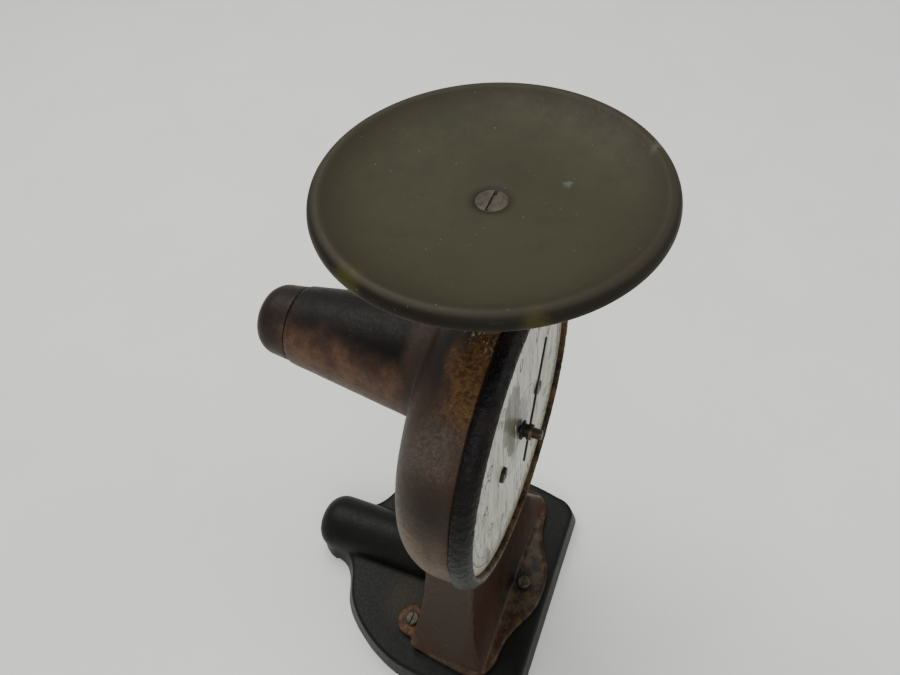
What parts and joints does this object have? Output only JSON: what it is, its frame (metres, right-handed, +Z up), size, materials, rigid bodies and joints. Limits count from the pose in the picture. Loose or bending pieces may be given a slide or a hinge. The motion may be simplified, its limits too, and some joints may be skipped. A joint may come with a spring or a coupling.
{
  "type": "mechanical dial scale",
  "caption": "Counter scale: round weighing plate on a sprung stem, dial with pointer driven by rack and pinion, cast drum stand with two hollow horns and base.",
  "frame": {"origin": "on the stem's axis, in the plane of the table the base stands on", "axes": "+Z up along the stem, -Y is the way the dial faces, +Y is the way the two horns point, +X to the right of someone facing the dial"},
  "size_m": [0.15, 0.185, 0.328],
  "materials": {
    "patinated_brass": "dark patina, worn satin",
    "old_steel": "dull, lightly rusted",
    "spring_steel": "oiled",
    "black_steel": "blued black",
    "clock_brass": "aged",
    "dark_brass": "dark, tarnished",
    "japanned_iron": "brown japanned lacquer, worn",
    "black_enamel_iron": "black gloss enamel, crackled and chipped",
    "dial_face": "aged off-white printed face",
    "black_iron": "black satin paint"
  },
  "bodies": {
    "stand": {"spring_posts": "old_steel", "upper_pivot_pin": "old_steel", "lower_pivot_pin": "old_steel", "housing": "japanned_iron", "horn_cap": "japanned_iron", "stem_bush": "clock_brass", "bezel_ring": "black_enamel_iron", "dial_plate": "dial_face", "dial_screws": "dark_brass", "dial_spacers": "clock_brass", "front_cock": "clock_brass", "rear_bearing": "clock_brass", "base": "black_iron", "foot_screws": "old_steel"},
    "platform": {"weigh_plate": "patinated_brass", "plate_screw": "old_steel", "plate_hub": "old_steel", "stem": "old_steel", "crosshead": "old_steel", "load_frame": "old_steel", "frame_screws": "old_steel", "rack": "clock_brass", "rack_screws": "old_steel", "lower_strap": "old_steel", "strap_screws": "old_steel", "upper_link_pin": "old_steel", "lower_link_pin": "old_steel", "spring_left": "spring_steel", "spring_right": "spring_steel"},
    "pointer_group": {"arbor": "old_steel", "pinion": "clock_brass", "pointer_collet": "black_steel", "pointer": "black_steel", "pointer_washer": "clock_brass", "pointer_nut": "old_steel"},
    "upper_link": {"upper_link": "old_steel"},
    "lower_link": {"lower_link": "old_steel"}
  },
  "joints": [
    {"name": "platform_travel", "type": "slide", "parent": "stand", "child": "platform", "axis": [0, 0, -1], "range_m": [0, 0.0138], "stiffness_N_per_m": 1450, "springref_m": -0.0045, "deforming": ["spring_left", "spring_right"]},
    {"name": "pointer_spin", "type": "hinge", "parent": "stand", "child": "pointer_group", "pos_m": [0, 0, 0.1905], "axis": [0, 1, 0], "range_deg": [0, 330]},
    {"name": "upper_link_swing", "type": "hinge", "parent": "stand", "child": "upper_link", "pos_m": [0, 0.074, 0.224], "axis": [1, 0, 0], "range_deg": [0, 12.2]},
    {"name": "lower_link_swing", "type": "hinge", "parent": "stand", "child": "lower_link", "pos_m": [0, 0.077, 0.015], "axis": [1, 0, 0], "range_deg": [0, 12.2]}
  ],
  "couplings": [
    {"joint": "pointer_spin", "follows": "platform_travel", "rad_per_m": 416.67},
    {"joint": "upper_link_swing", "follows": "platform_travel", "rad_per_m": 15.152},
    {"joint": "lower_link_swing", "follows": "platform_travel", "rad_per_m": 15.152}
  ]
}
